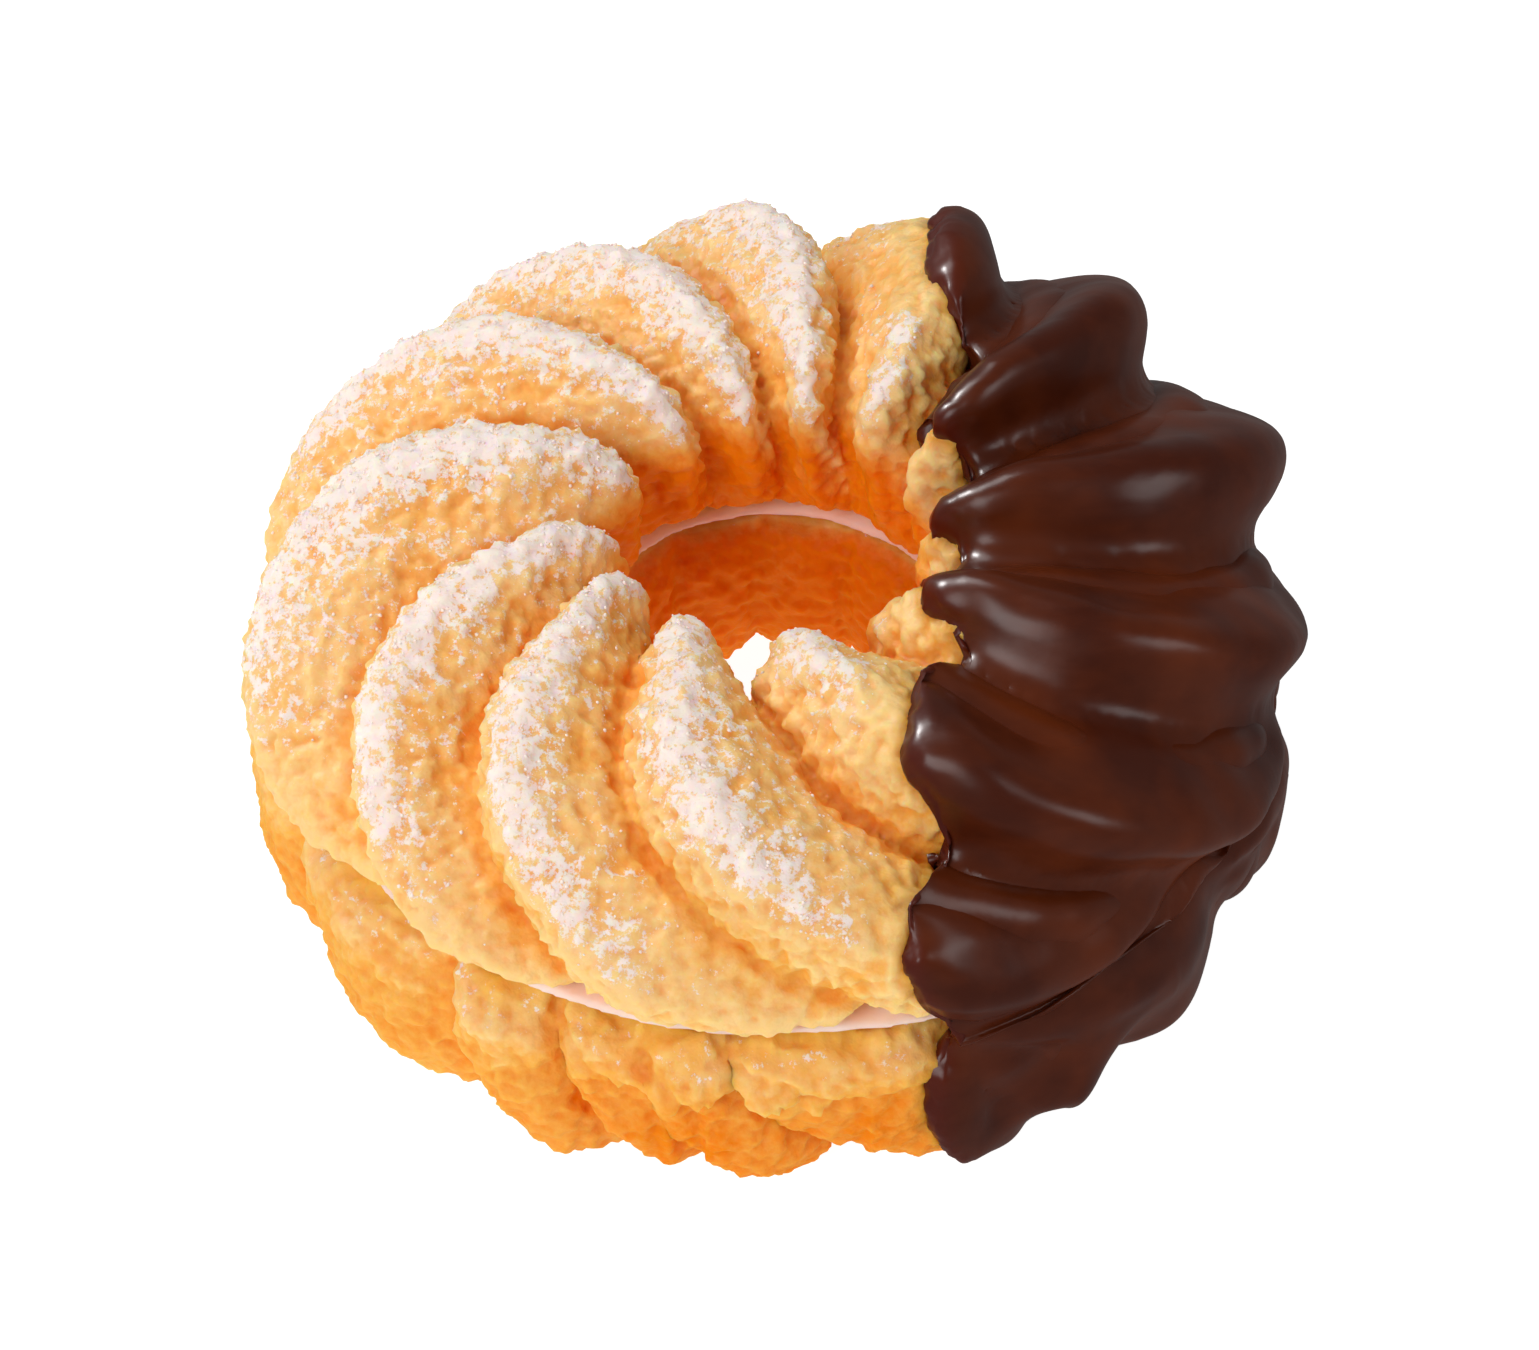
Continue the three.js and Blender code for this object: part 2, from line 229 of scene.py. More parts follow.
def upper_share(points):
    """Where each point lies across its upper lobe."""
    radius, azimuth, z = round_ring(points)
    in_hole = radius < 21
    side = np.where(in_hole, 1.4, 1.15)
    along = np.clip(np.where(in_hole, (21 - radius) / 7.3, (radius - 21) / 21.3), 0, 1) ** side
    up = np.clip((z - CUT_HIGH) / 17.2, 0, 1) ** side
    angle = np.arctan2(up, along)
    angle = np.where(in_hole, angle, math.pi - angle)
    rim = math.pi / 4
    late = np.clip((angle - rim) / (math.pi - rim), 0, 1) ** 1.8
    starts = [
        edge + np.where(angle < rim, -14 + 8 * angle / rim, -6 + (sweep + 6) * late)
        for edge, sweep in UPPER_CREASES
    ]
    return share_between(azimuth, starts)


def lower_share(points):
    """Where each point lies across its lower lobe."""
    _, azimuth, z = round_ring(points)
    deep = np.clip((CUT_LOW - z) / 19.8, 0, 1)
    starts = [edge + sweep * np.minimum(1, 4 * deep) for edge, sweep in LOWER_CREASES]
    return share_between(azimuth, starts)


def shingled(points):
    """Extra height in mm that makes the lobes overlap: a crest behind each crease and a long fall."""
    radius, _, z = round_ring(points)
    uneven = 1 + 0.45 * bumps(points, 13.0, 1, 71)
    upper_crest, lower_crest = 1.0, 0.6
    share = upper_share(points)
    crest = np.exp(-(((share - 0.36) / 0.17) ** 2)) - 0.5 * np.exp(-(((share - 0.8) / 0.16) ** 2))
    above = crest * upper_crest * uneven * ease(z, CUT_HIGH + 0.5, CUT_HIGH + 5)
    share = lower_share(points)
    crest = np.exp(-(((share - 0.4) / 0.2) ** 2)) - 0.7 * np.exp(-(((share - 0.9) / 0.12) ** 2))
    below = crest * lower_crest * uneven * ease(-z, -CUT_LOW + 0.5, -CUT_LOW + 4) * ease(z, 0.5, 4)
    return above + below * ease(radius, 24, 30)


def past_dip_line(points):
    """How far each point lies beyond the line that the chocolate reaches, in mm.

    The line runs straight down the lower half, steps in and out with the lobes of the upper half,
    and moves back where the ring's side stands beside the hole.
    """
    line_below, line_above, line_beside_hole = 16, 13.6, 17.5
    lobe_tooth = 3.4
    x, y, z = points.T / MM
    y = y - AXIS_Y
    skew = 0.055 * (y + 20)
    beside = ease((6 - np.abs(y)) / 6 + 0.5, 0, 1)
    low = line_below - 2.4 * ease(z, 0, 10) + skew
    low += (line_beside_hole - low) * beside
    at_line = points.copy()
    at_line[:, 0] = line_above * MM
    share = upper_share(at_line)
    tooth = np.where(share < 0.85, share / 0.85, (1 - share) / 0.15)
    high = line_above - lobe_tooth * ease(tooth, 0, 1) + skew
    high += (line_beside_hole - high) * beside * ease((CUT_HIGH + 12 - z) / 3, 0, 1)
    return x - np.where(z < CREAM_LEVEL, low, high)


# The coat's own sizes in mm: how far it pools between lobes, each lobe's step, each valley, the
# groove at the cream, its waves, and how far its foot runs out and draws back on the table.
COAT_CELL = 0.44
POOLING = 0.9
LOBE_STEP = 1.6
VALLEY_DEPTH = 0.5
SEAM_DEPTH = 1.9
SEAM_REACH = 1.4
COAT_WAVES = 0.4
EDGE_THINNING = 0.5
FOOT_OUT = 2.4
FOOT_BACK = 2.6
RAGGED_EDGE = 0.45
DRAGGED_TIP = 1.1
coat = copy_of("chocolate_coat", "chocolate_coat_set")
remesh(coat, COAT_CELL)
modify(coat, "DISPLACE", strength=POOLING * MM, mid_level=0.0)
modify(coat, "REMESH", mode="VOXEL", voxel_size=COAT_CELL * MM)
modify(coat, "SMOOTH", factor=0.5, iterations=6)
modify(coat, "DISPLACE", strength=(0.1 - POOLING) * MM, mid_level=0.0)
modify(coat, "SMOOTH", factor=0.5, iterations=6)
points, normals = shape_of(coat)
radius, azimuth, z = round_ring(points)
share = upper_share(points)
beside_crease = np.minimum(share, 1 - share)
valley = np.exp(-((beside_crease / 0.07) ** 2))
valley *= ease(z, CUT_HIGH + 1, CUT_HIGH + 4) * ease(radius, 14, 20)
seam = np.exp(-(((z - CREAM_LEVEL) / SEAM_REACH) ** 2)) * ease(radius, 33, 37)
outwards = normals[:, 0] * points[:, 0] + normals[:, 1] * (points[:, 1] - AXIS_Y * MM)
outwards = outwards / MM / radius * (radius - 28) + normals[:, 2] * (z - 20)
past = past_dip_line(points)
thin_edge = ease(outwards, -1, 3) * ease(-past, -3.0, -0.3)
lift = shingled(points) * LOBE_STEP - valley * VALLEY_DEPTH - seam * SEAM_DEPTH
lift += bumps(points, 7.0, 2) * COAT_WAVES - thin_edge * EDGE_THINNING
points = points + normals * lift[:, None] * MM
foot = FOOT_OUT * np.exp(-(((azimuth + 60) / 7) ** 2))
foot -= FOOT_BACK * np.exp(-(((azimuth + 46) / 5) ** 2))
foot *= ease(-z, -13, -5) * ease(radius, 30, 34)
points[:, 0] += points[:, 0] / radius * foot
points[:, 1] += (points[:, 1] - AXIS_Y * MM) / radius * foot
points[:, 0] += bumps(points, 1.6, 2, 5) * RAGGED_EDGE * ease(-past, -2.0, 0.0) * MM
dragged = np.exp(-(((points[:, 1] / MM + 30) / 3.0) ** 2)) * ease(z, 21, 25) * ease(-past, -4.0, 0.0)
points[:, 0] -= dragged * DRAGGED_TIP * MM
reshape(coat, points)
modify(coat, "SMOOTH", factor=0.5, iterations=2)

# Liquid chocolate levels itself: its outer side is smoothed, and most of all in the valleys. Its
# inner side is left with fewer faces, from 2.5 mm behind its edge.
levelled = coat.vertex_groups.new(name="levelled")
levelled.add(np.where((past > 1.2) & (outwards > 0))[0].tolist(), 1.0, "REPLACE")
modify(coat, "SMOOTH", group="levelled", factor=0.5, iterations=16)
valleys = coat.vertex_groups.new(name="valleys")
in_valley = (beside_crease < 0.2) & (outwards > 0) & (past > 0.8)
valleys.add(np.where(in_valley)[0].tolist(), 1.0, "REPLACE")
modify(coat, "SMOOTH", group="valleys", factor=0.5, iterations=34)
store(coat, "dip_edge", ease(-past, -1.6, 0.2))
inner_side = coat.vertex_groups.new(name="inner_side")
inner_side.add(np.where((outwards < -0.5) & (past > 2.5))[0].tolist(), 1.0, "REPLACE")
modify(coat, "DECIMATE", group="inner_side", ratio=0.88)
pick(coat)
bpy.ops.object.shade_smooth()

# Dark chocolate, set to a satin gloss: a deep, warm brown with long soft highlights and faint
# streaks, redder and thinner where its edge lies on the dough.
chocolate = material_named("dark_chocolate_set_satin")
place = add(chocolate, "TexCoord").outputs["Object"]
cloudy = add(chocolate, "TexNoise", {"Vector": place, "Scale": per_mm(9.0), "Detail": 3.0})
streaks_place = add(
    chocolate,
    "Mapping",
    {"Vector": place, "Scale": (0.25, 1.0, 1.0), "Rotation": (0.0, 0.0, math.radians(20))},
)
streaks = add(
    chocolate,
    "TexNoise",
    {"Vector": streaks_place.outputs["Vector"], "Scale": per_mm(0.9), "Detail": 4.0, "Distortion": 0.6},
)
faint = add(chocolate, "Math", {0: streaks.outputs["Fac"], 1: 0.12}, operation="MULTIPLY").outputs[0]
tone = add(chocolate, "Math", {0: cloudy.outputs["Fac"], 1: faint}, operation="ADD")
browns = add(chocolate, "ValToRGB", {"Fac": tone.outputs[0]})
browns.color_ramp.elements[0].position = 0.4
browns.color_ramp.elements[0].color = linear("#401403")
browns.color_ramp.elements[1].position = 0.85
browns.color_ramp.elements[1].color = linear("#632707")
ripple = add(
    chocolate, "TexNoise", {"Vector": place, "Scale": per_mm(2.4), "Detail": 2.0, "Roughness": 0.4}
).outputs["Fac"]
coat_bump = add(chocolate, "Bump", {"Height": ripple, "Strength": 0.25, "Distance": 0.1 * MM})
thin_place = add(chocolate, "Attribute", attribute_name="dip_edge").outputs["Fac"]
edged = add(
    chocolate,
    "MixRGB",
    {"Fac": thin_place, "Color1": browns.outputs["Color"], "Color2": linear("#4e1409")},
).outputs["Color"]
gloss = add(
    chocolate, "MapRange", {"Value": streaks.outputs["Fac"], "To Min": 0.27, "To Max": 0.36}
)
coat_shader = add(
    chocolate,
    "BsdfPrincipled",
    {
        "Base Color": edged,
        "Roughness": gloss.outputs["Result"],
        "IOR": 1.47,
        "Specular IOR Level": 0.34,
        "Normal": coat_bump.outputs["Normal"],
    },
)
add(chocolate, "OutputMaterial", {"Surface": coat_shader.outputs["BSDF"]})
coat.data.materials.append(chocolate)
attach(coat, "root")
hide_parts("chocolate_coat")
coat_points, _ = shape_of(coat)
coat_faces = [tuple(p.vertices) for p in coat.data.polygons]
coat_tree = BVHTree.FromPolygons([Vector(p) for p in coat_points], coat_faces)

# The lower half: choux dough piped in a ring of pressed lobes, fried crisp and cut level on top.
# The crust is a thin, finely blistered skin, and the cut face is open yellow crumb.
DOUGH_CELL = 0.38
SUNK_UNDER_COAT = 1.2
SUNK_AT_SEAM = 1.6


def under_coat(points, normals):
    """1 where the chocolate covers a point of the dough, and 0 where the dough is bare."""
    rays = zip((Vector(p) for p in points - normals * 2.0 * MM), (Vector(n) for n in normals))
    return np.array([float(coat_tree.ray_cast(p, n, 5 * MM)[0] is not None) for p, n in rays])


def crust(piece, seed):
    """Blisters, knobs and pits of fried choux on a piece, and the values its material reads."""
    # The lobes overlap. A blend of the mesh tells which points lie in a crease.
    points, normals = shape_of(piece)
    reshape(piece, points + normals * shingled(points)[:, None] * MM)
    points, normals = shape_of(piece)
    edges = neighbours(piece)
    soft = averaged(points, edges, 85)
    rise = np.einsum("ij,ij->i", points - soft, normals) / MM
    painted_shade = averaged(ease(-rise, -0.9, 0.9), edges, 3)

    # Skin is everywhere but on the flat cuts. Creases, the inside of the hole, the pits and the lower
    # part of the ring are given a deeper orange, which is painted shade.
    skin = 1 - ease(np.abs(normals[:, 2]), 0.93, 0.99) * ease(
        -np.minimum(abs(points[:, 2] / MM - CUT_LOW), abs(points[:, 2] / MM - CUT_HIGH)), -0.8, -0.3
    )
    skin = averaged(skin, edges, 2)
    radius, _, z = round_ring(points)
    outwards = normals[:, 0] * points[:, 0] + normals[:, 1] * (points[:, 1] - AXIS_Y * MM)
    towards_axis = -outwards / MM / radius
    # Painted shade on the inner wall of the hole, and darker towards the bottom of the ring, more so away
    # from the left.
    in_hole = ease(towards_axis, 0.2, 0.7) * ease(-radius, -22, -18) * ease(-z, -36, -30)
    painted_shade = np.maximum(painted_shade * 0.62, in_hole)
    low_down = ease(-z, -22, -8) * (0.45 + 0.33 * ease(points[:, 0] / MM, -26, -6))
    painted_shade = painted_shade + (1 - painted_shade) * low_down

    # The crust in mm: swellings, knobs, folds and grains, then open crumb on the cuts and torn rims.
    ridged = 1 - np.abs(bumps(points, 2.2, 2, seed + 1))
    share = upper_share(points)
    rim = 1 + 0.8 * np.exp(-(((share - 0.12) / 0.12) ** 2)) * ease(z, CUT_HIGH, CUT_HIGH + 3)
    height = (
        bumps(points, 6.0, 2, seed) * 0.3
        + bumps(points, 2.6, 2, seed + 2) * 0.22
        + (ridged - 0.7) * 0.25
        + bumps(points, 1.2, 2, seed + 3) * 0.42 * rim
    )
    # The pits get a little painted shade as well.
    pits = ease(0.15 - height, 0.0, 0.55)
    painted_shade = painted_shade + (1 - painted_shade) * 0.3 * pits
    crumb_height = bumps(points, 1.3, 3, seed + 4) * 0.2 - 0.05
    height = height * skin + crumb_height * (1 - skin)
    torn = np.exp(-(((z - CUT_LOW + 0.4) / 0.9) ** 2)) + 0.5 * np.exp(-(((z - CUT_HIGH - 0.3) / 0.6) ** 2))
    torn *= ease(radius, 33, 36)
    height += torn * (bumps(points, 2.3, 3, seed + 5) * 1.1 + 0.35)
    height -= 0.5 * ease(z, 37, 41)

    # Dough under the chocolate sinks, so that it doesn't show through the coat. It starts to sink
    # 0.6 mm behind the dip line.
    covered = ease(averaged(under_coat(points, normals), edges, 10), 0.85, 1.0)
    covered *= ease(past_dip_line(points), 0.6, 1.9)
    by_seam = ease(-np.abs(z - CREAM_LEVEL), -5, -2) * ease(radius, 30, 35)
    height -= covered * (SUNK_UNDER_COAT + SUNK_AT_SEAM * by_seam)
    reshape(piece, points + normals * height[:, None] * MM)
    store(piece, "painted_shade", painted_shade)
    store(piece, "crumb", np.maximum(1 - skin, torn * 0.7))

    # Faces under the chocolate and on the cuts beside the cream are thinned later.
    under_cream = (skin < 0.3) & (radius > 16) & (radius < 34)
    unseen = piece.vertex_groups.new(name="unseen")
    unseen.add(np.where((covered > 0.7) | under_cream)[0].tolist(), 1.0, "REPLACE")
    return points, normals, painted_shade, skin


def beside_chocolate(piece, points):
    """Each point's distance from the chocolate in mm, which its material reads as a thin stain."""
    stain_reach, far = 0.9 * MM, 14 * MM
    found = [coat_tree.find_nearest(Vector(p), far)[3] for p in points]
    distance = np.array([far if d is None else d for d in found])
    store(piece, "chocolate_edge", 1 - distance / stain_reach)
    return distance / MM


lower = copy_of("lower_half", "lower_half_fried")
remesh(lower, DOUGH_CELL)
modify(lower, "SMOOTH", factor=0.5, iterations=3)

# A torn shelf of crust sticks out at the front of the cut rim.
SHELF_OUT = 1.5
points, normals = shape_of(lower)
radius, azimuth, z = round_ring(points)
shelf = np.exp(-(((azimuth + 92) / 15) ** 2)) * ease(z + bumps(points, 3.0, 3, 41) * 1.6, 13.4, 14.4)
shelf *= ease(radius, 33, 37) * ease(-z, -CUT_LOW - 0.1, -CUT_LOW + 0.9) * SHELF_OUT / radius
points[:, 0] += points[:, 0] * shelf
points[:, 1] += (points[:, 1] - AXIS_Y * MM) * shelf
reshape(lower, points)
lower_points, lower_normals, lower_painted_shade, lower_skin = crust(lower, 1)
beside_chocolate(lower, lower_points)
lower_sugar = (
    ease(lower_normals[:, 2], 0.1, 0.7)
    * ease(lower_points[:, 2] / MM, 12.0, 17.5)
    * (1 - lower_painted_shade)
    * lower_skin
    * 0.55
)
store(lower, "sugar_cover", lower_sugar)
modify(lower, "DECIMATE", group="unseen", ratio=0.75)
pick(lower)
bpy.ops.object.shade_smooth()

# Fried choux crust: pale gold on the crests and deep orange, painted shade, in the creases and low
# down; dry and a little translucent. Icing sugar lies on it as a crisp white dust that thins out into
# a faint veil.
fried = material_named("fried_choux_crust")
place = add(fried, "TexCoord").outputs["Object"]
painted_shade = add(fried, "Attribute", attribute_name="painted_shade").outputs["Fac"]
crumb = add(fried, "Attribute", attribute_name="crumb").outputs["Fac"]
cover = add(fried, "Attribute", attribute_name="sugar_cover").outputs["Fac"]
stain = add(fried, "Attribute", attribute_name="chocolate_edge").outputs["Fac"]
mottle = add(fried, "TexNoise", {"Vector": place, "Scale": per_mm(5.0), "Detail": 3.0}).outputs["Fac"]
blister = add(
    fried, "TexNoise", {"Vector": place, "Scale": per_mm(0.9), "Detail": 4.0, "Roughness": 0.6}
).outputs["Fac"]
# Painted shade: the creases, the hole, the pits and the lower part are pushed towards the ramp's deep
# orange end. Blisters and mottling are the crust's own uneven tone.
shade_depth = add(fried, "Math", {0: painted_shade, 1: 0.85, 2: -0.3}, operation="MULTIPLY_ADD").outputs[0]
patchy_and_shade = add(fried, "Math", {0: mottle, 1: 0.5, 2: shade_depth}, operation="MULTIPLY_ADD").outputs[0]
browning_and_shade = add(fried, "Math", {0: blister, 1: 0.5, 2: patchy_and_shade}, operation="MULTIPLY_ADD").outputs[0]
golds = add(fried, "ValToRGB", {"Fac": browning_and_shade})
golds.color_ramp.elements[0].position = 0.3
golds.color_ramp.elements[0].color = linear("#f8cd88")
golds.color_ramp.elements[1].position = 1.0
golds.color_ramp.elements[1].color = linear("#ee8200")
middle_gold = golds.color_ramp.elements.new(0.6)
middle_gold.color = linear("#f5b150")
crumbed = add(
    fried,
    "MixRGB",
    {"Fac": crumb, "Color1": golds.outputs["Color"], "Color2": linear("#f3b944")},
).outputs["Color"]
stained = add(
    fried, "MixRGB", {"Fac": stain, "Color1": crumbed, "Color2": linear("#dd9430")}
).outputs["Color"]
grains = add(
    fried, "TexNoise", {"Vector": place, "Scale": per_mm(0.85), "Detail": 5.0, "Roughness": 0.76}
).outputs["Fac"]
drift = add(fried, "TexNoise", {"Vector": place, "Scale": per_mm(3.0), "Detail": 3.0}).outputs["Fac"]
piled = add(fried, "Math", {0: cover, 1: 0.5, 2: grains}, operation="MULTIPLY_ADD").outputs[0]
drifted = add(fried, "Math", {0: drift, 1: 0.28, 2: piled}, operation="MULTIPLY_ADD").outputs[0]
dusted = add(
    fried, "MapRange", {"Value": drifted, "From Min": 0.905, "From Max": 0.97}
).outputs["Result"]
veil = add(fried, "MapRange", {"Value": cover, "From Max": 0.7, "To Max": 0.14}).outputs["Result"]
veiled = add(
    fried, "MixRGB", {"Fac": veil, "Color1": stained, "Color2": linear("#fbd6bc")}
).outputs["Color"]
dusted_colour = add(
    fried, "MixRGB", {"Fac": dusted, "Color1": veiled, "Color2": linear("#fbe7de")}
).outputs["Color"]
dryness = add(fried, "MapRange", {"Value": dusted, "To Min": 0.5, "To Max": 0.9}).outputs["Result"]
pores = add(
    fried, "TexNoise", {"Vector": place, "Scale": per_mm(0.8), "Detail": 2.0, "Roughness": 0.5}
).outputs["Fac"]
raised = add(fried, "Math", {0: dusted, 1: 0.2, 2: pores}, operation="MULTIPLY_ADD").outputs[0]
crust_bump = add(fried, "Bump", {"Height": raised, "Strength": 0.55, "Distance": 0.3 * MM})
crust_shader = add(
    fried,
    "BsdfPrincipled",
    {
        "Base Color": dusted_colour,
        "Roughness": dryness,
        "IOR": 1.45,
        "Specular IOR Level": 0.15,
        "Subsurface Weight": 0.65,
        "Subsurface Radius": (1.0, 0.42, 0.12),
        "Subsurface Scale": 2.5 * MM,
        "Normal": crust_bump.outputs["Normal"],
    },
)
add(fried, "OutputMaterial", {"Surface": crust_shader.outputs["BSDF"]})
lower.data.materials.append(fried)
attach(lower, "root")
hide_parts("lower_half")

# The filling: whipped cream spread on the lower half and pressed out a little by the upper one.
# It is soft and smooth, with slow waves along its edge.
cream = copy_of("cream_layer", "cream_layer_spread")
remesh(cream, 0.5)
modify(cream, "SMOOTH", factor=0.5, iterations=4)
points, normals = shape_of(cream)
reshape(cream, points + normals * bumps(points, 4.0, 2, 9)[:, None] * 0.15 * MM)
pick(cream)
bpy.ops.object.shade_smooth()

# Whipped cream: soft, satin and pinkish white; part of the pink is a painted reflection of the orange
# dough around it.
whipped = material_named("whipped_cream_soft")
place = add(whipped, "TexCoord").outputs["Object"]
folds = add(whipped, "TexNoise", {"Vector": place, "Scale": per_mm(3.0), "Detail": 3.0}).outputs["Fac"]
creams = add(whipped, "ValToRGB", {"Fac": folds})
creams.color_ramp.elements[0].position = 0.3
creams.color_ramp.elements[0].color = linear("#f2cdc0")
creams.color_ramp.elements[1].position = 0.7
creams.color_ramp.elements[1].color = linear("#f8ded6")
cream_bump = add(whipped, "Bump", {"Height": folds, "Strength": 0.4, "Distance": 0.3 * MM})
cream_shader = add(
    whipped,
    "BsdfPrincipled",
    {
        "Base Color": creams.outputs["Color"],
        "Roughness": 0.42,
        "IOR": 1.45,
        "Subsurface Weight": 0.6,
        "Subsurface Radius": (1.0, 0.7, 0.5),
        "Subsurface Scale": 1.5 * MM,
        "Normal": cream_bump.outputs["Normal"],
    },
)
add(whipped, "OutputMaterial", {"Surface": cream_shader.outputs["BSDF"]})
cream.data.materials.append(whipped)
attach(cream, "root")
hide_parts("cream_layer")

# The upper half: twelve plump lobes of the same dough, which sweep round the ring as they come down.
# Its crust is as the lower half's, and most of the icing sugar lies on it.
upper = copy_of("upper_half", "upper_half_fried")
remesh(upper, DOUGH_CELL)
modify(upper, "SMOOTH", factor=0.5, iterations=3)
upper_points, upper_normals, upper_painted_shade, upper_skin = crust(upper, 11)
upper_near = beside_chocolate(upper, upper_points)
upper_across = upper_share(upper_points)
upper_sugar = (
    ease(upper_normals[:, 2], -0.3, 0.7)
    * (0.55 + 0.45 * np.exp(-(((upper_across - 0.38) / 0.25) ** 2)))
    * ease(upper_points[:, 2] / MM, 17.0, 33.0)
    * (1 - 0.1 * ease(-upper_points[:, 1] / MM, 5, 25))
    * (1 - 0.65 * ease(upper_painted_shade, 0.3, 0.6))
    * upper_skin
    * (0.8 + 0.2 * ease(upper_near, 3.0, 12.0))
    * ease(upper_near, 1.0, 4.5)
    * 0.8
)
store(upper, "sugar_cover", upper_sugar)
upper_now, upper_up = shape_of(upper)
modify(upper, "DECIMATE", group="unseen", ratio=0.7)
pick(upper)
bpy.ops.object.shade_smooth()
upper.data.materials.append(fried)
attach(upper, "root")
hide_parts("upper_half")

# The icing sugar: fine powder sieved over the top, which clings in small clumps to the crests.
# Six clumps are modelled, and their meshes are joined into one at thousands of places on the crust.
SUGAR_CLUMPS = 4200


def clump_shape(seed):
    """The points and faces of one lumpy clump of powder, about 2 units across and flattened."""
    bpy.ops.object.select_all(action="DESELECT")
    bpy.ops.mesh.primitive_ico_sphere_add(subdivisions=1, radius=1.0)
    lump = bpy.context.active_object
    points = np.array([v.co for v in lump.data.vertices])
    random = np.random.default_rng(seed)
    points *= 1 + random.uniform(-0.25, 0.25, (len(points), 1))
    points[:, 2] *= 0.6
    faces = np.array([tuple(p.vertices) for p in lump.data.polygons])
    bpy.data.objects.remove(lump)
    return points, faces


def scatter(points, normals, weight, count, sizes, seed, name):
    """Clumps strewn over a piece where weight is high, as one mesh."""
    random = np.random.default_rng(seed)
    weight = weight / weight.sum()
    chosen = random.choice(len(points), count, replace=True, p=weight)
    shapes = [clump_shape(seed * 10 + k) for k in range(6)]
    kinds = random.integers(0, len(shapes), count)
    widths = sizes[0] + (sizes[1] - sizes[0]) * random.power(0.45, count)[:, None]
    turns = random.uniform(0, 2 * math.pi, count)
    up = normals[chosen]
    side = np.cross(up, random.normal(size=(count, 3)))
    side /= np.linalg.norm(side, axis=1, keepdims=True)
    third = np.cross(up, side)
    jitter = random.uniform(-0.3, 0.3, (count, 2)) * MM
    centre = points[chosen] + side * jitter[:, :1] + third * jitter[:, 1:] + up * 0.05 * MM
    all_points = []
    all_faces = []
    start = 0
    for kind, (shape, faces) in enumerate(shapes):
        mine = np.where(kinds == kind)[0]
        spin = turns[mine]
        across = np.cos(spin)[:, None] * side[mine] + np.sin(spin)[:, None] * third[mine]
        along = -np.sin(spin)[:, None] * side[mine] + np.cos(spin)[:, None] * third[mine]
        half = widths[mine] / 2 * MM
        placed = centre[mine][:, None, :] + half[:, :, None] * (
            shape[None, :, 0:1] * across[:, None, :]
            + shape[None, :, 1:2] * along[:, None, :]
            + shape[None, :, 2:3] * up[mine][:, None, :]
        )
        all_points.append(placed.reshape(-1, 3))
        step = np.arange(len(mine))[:, None, None] * len(shape) + start
        all_faces.append((faces[None] + step).reshape(-1, 3))
        start += len(mine) * len(shape)
    mesh = bpy.data.meshes.new(name)
    mesh.from_pydata(np.concatenate(all_points).tolist(), [], np.concatenate(all_faces).tolist())
    made = bpy.data.objects.new(name, mesh)
    bpy.context.collection.objects.link(made)
    pick(made)
    bpy.ops.object.shade_smooth()
    return made


patches = bumps(upper_now, 2.2, 3, 31)
weight = upper_sugar**3 * ease(patches + upper_sugar * 0.9, 0.15, 0.75)
sugar = scatter(upper_now, upper_up, weight, SUGAR_CLUMPS, (0.1, 0.36), 5, "icing_sugar_clumps")

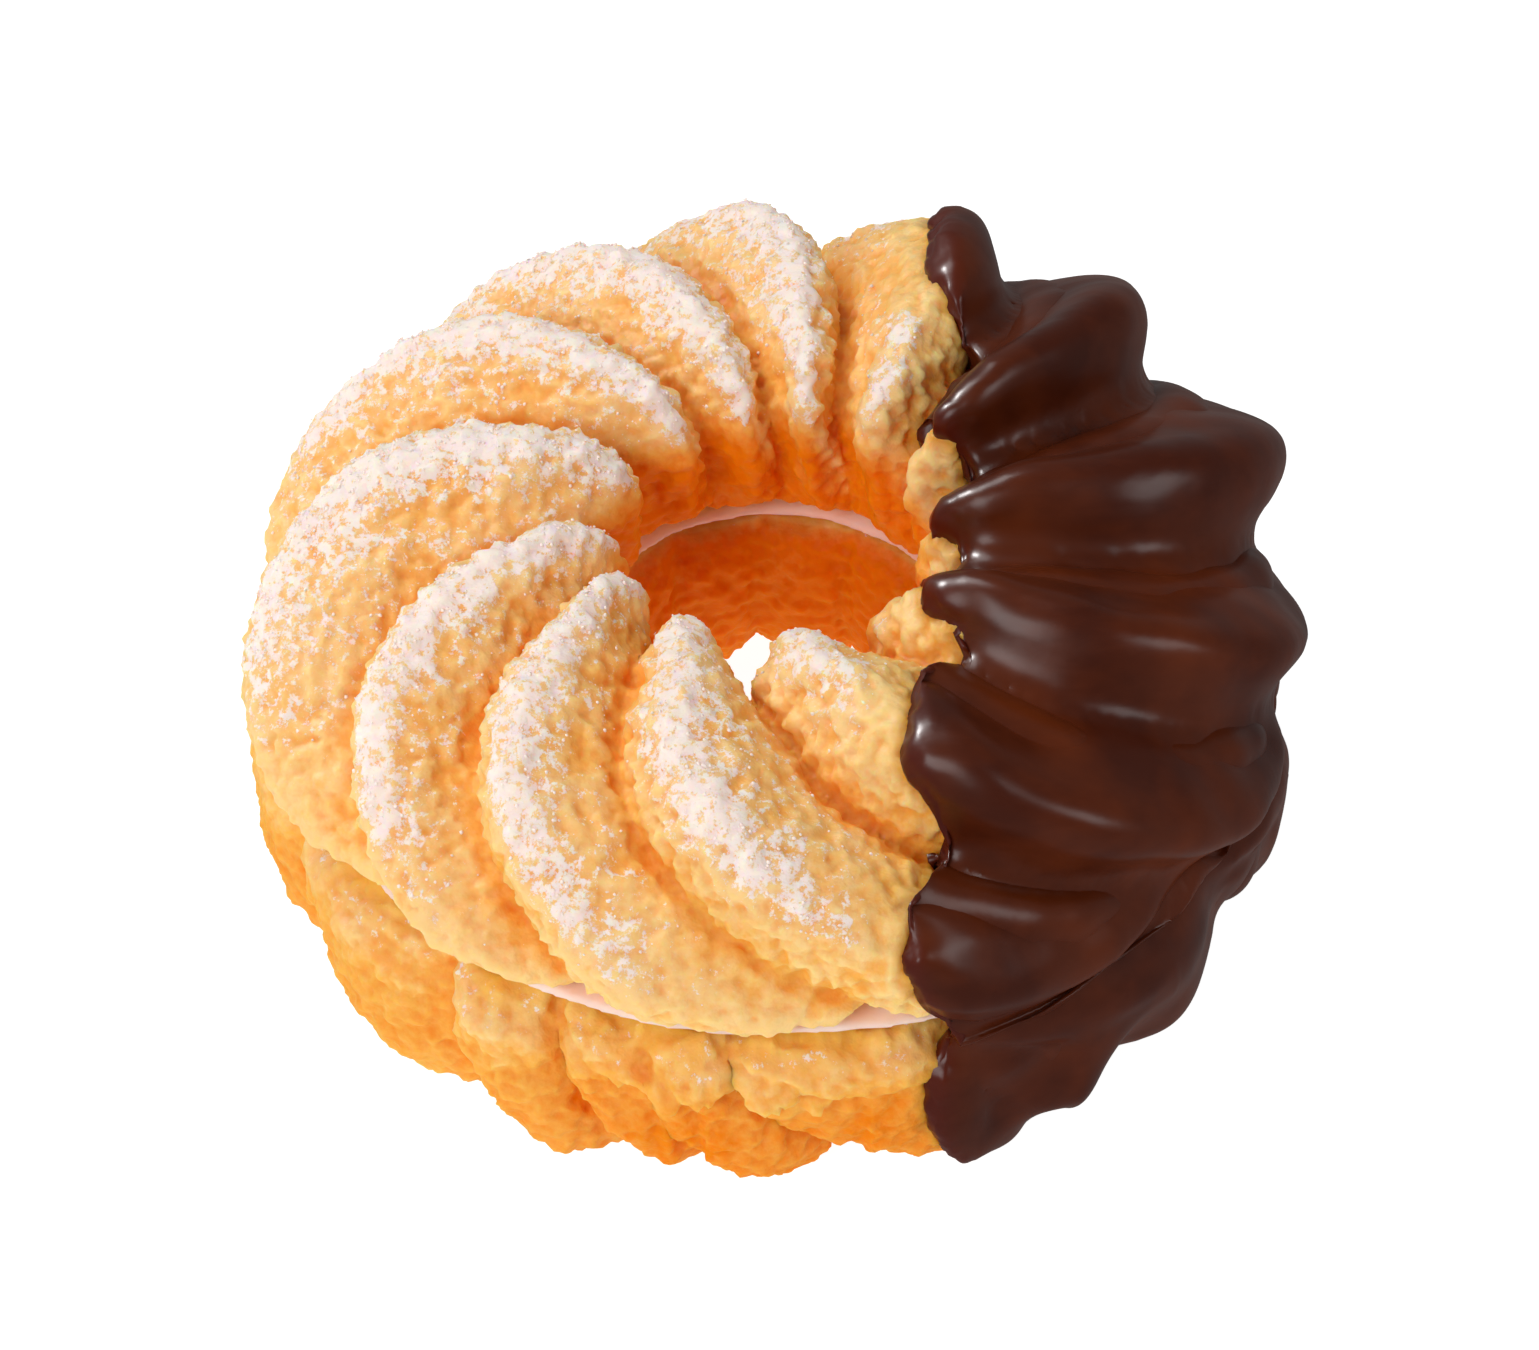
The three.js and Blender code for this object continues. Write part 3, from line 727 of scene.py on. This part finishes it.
# Icing sugar powder: bright, quite matt and warm white.
powder = material_named("icing_sugar_powder")
place = add(powder, "TexCoord").outputs["Object"]
dust = add(powder, "TexNoise", {"Vector": place, "Scale": per_mm(0.15), "Detail": 3.0}).outputs["Fac"]
whites = add(powder, "ValToRGB", {"Fac": dust})
whites.color_ramp.elements[0].position = 0.3
whites.color_ramp.elements[0].color = linear("#fde8de")
whites.color_ramp.elements[1].position = 0.7
whites.color_ramp.elements[1].color = linear("#fff2ec")
dust_bump = add(powder, "Bump", {"Height": dust, "Strength": 0.3, "Distance": 0.03 * MM})
powder_shader = add(
    powder,
    "BsdfPrincipled",
    {
        "Base Color": whites.outputs["Color"],
        "Roughness": 0.95,
        "IOR": 1.4,
        "Specular IOR Level": 0.1,
        "Normal": dust_bump.outputs["Normal"],
    },
)
add(powder, "OutputMaterial", {"Surface": powder_shader.outputs["BSDF"]})
sugar.data.materials.append(powder)
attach(sugar, "root")

# The studio: a seamless white table that glows, so that it is white in the picture, with large soft
# lights at the back left and front left and a weak one at the right. A small light at the left makes
# highlights only, and the table isn't seen in reflections.
bpy.ops.object.select_all(action="DESELECT")
bpy.ops.mesh.primitive_plane_add(size=4.0, location=(0.0, 0.0, 0.0))
table = bpy.context.active_object
table.name = "table"
tabletop = material_named("white_table")
table_shader = add(
    tabletop,
    "BsdfPrincipled",
    {
        "Base Color": linear("#8c8c8c"),
        "Roughness": 0.9,
        "Emission Color": linear("#ffffff"),
        "Emission Strength": 0.95,
    },
)
add(tabletop, "OutputMaterial", {"Surface": table_shader.outputs["BSDF"]})
table.data.materials.append(tabletop)
table.visible_glossy = False


def softbox(name, place, size, power):
    """A square soft light that faces the ring."""
    bpy.ops.object.select_all(action="DESELECT")
    bpy.ops.object.light_add(type="AREA", location=Vector(place) * MM)
    light = bpy.context.active_object
    light.name = name
    light.data.shape = "SQUARE"
    light.data.size = size * MM
    light.data.energy = power
    light.rotation_euler = (RING_MIDDLE - light.location).to_track_quat("-Z", "Y").to_euler()
    return light


softbox("key", (-180, 200, 400), 240, 1.15)
softbox("fill", (-220, -320, 300), 240, 1.15)
gleam = softbox("gleam", (-320, 170, 290), 100, 3.6)
gleam.visible_diffuse = False
softbox("right", (320, -160, 260), 160, 0.35)
world = bpy.data.worlds.new("studio")
bpy.context.scene.world = world
world.use_nodes = True
world.node_tree.nodes["Background"].inputs["Color"].default_value = linear("#ffffff")
world.node_tree.nodes["Background"].inputs["Strength"].default_value = 0.16
bpy.context.scene.view_settings.view_transform = "Standard"
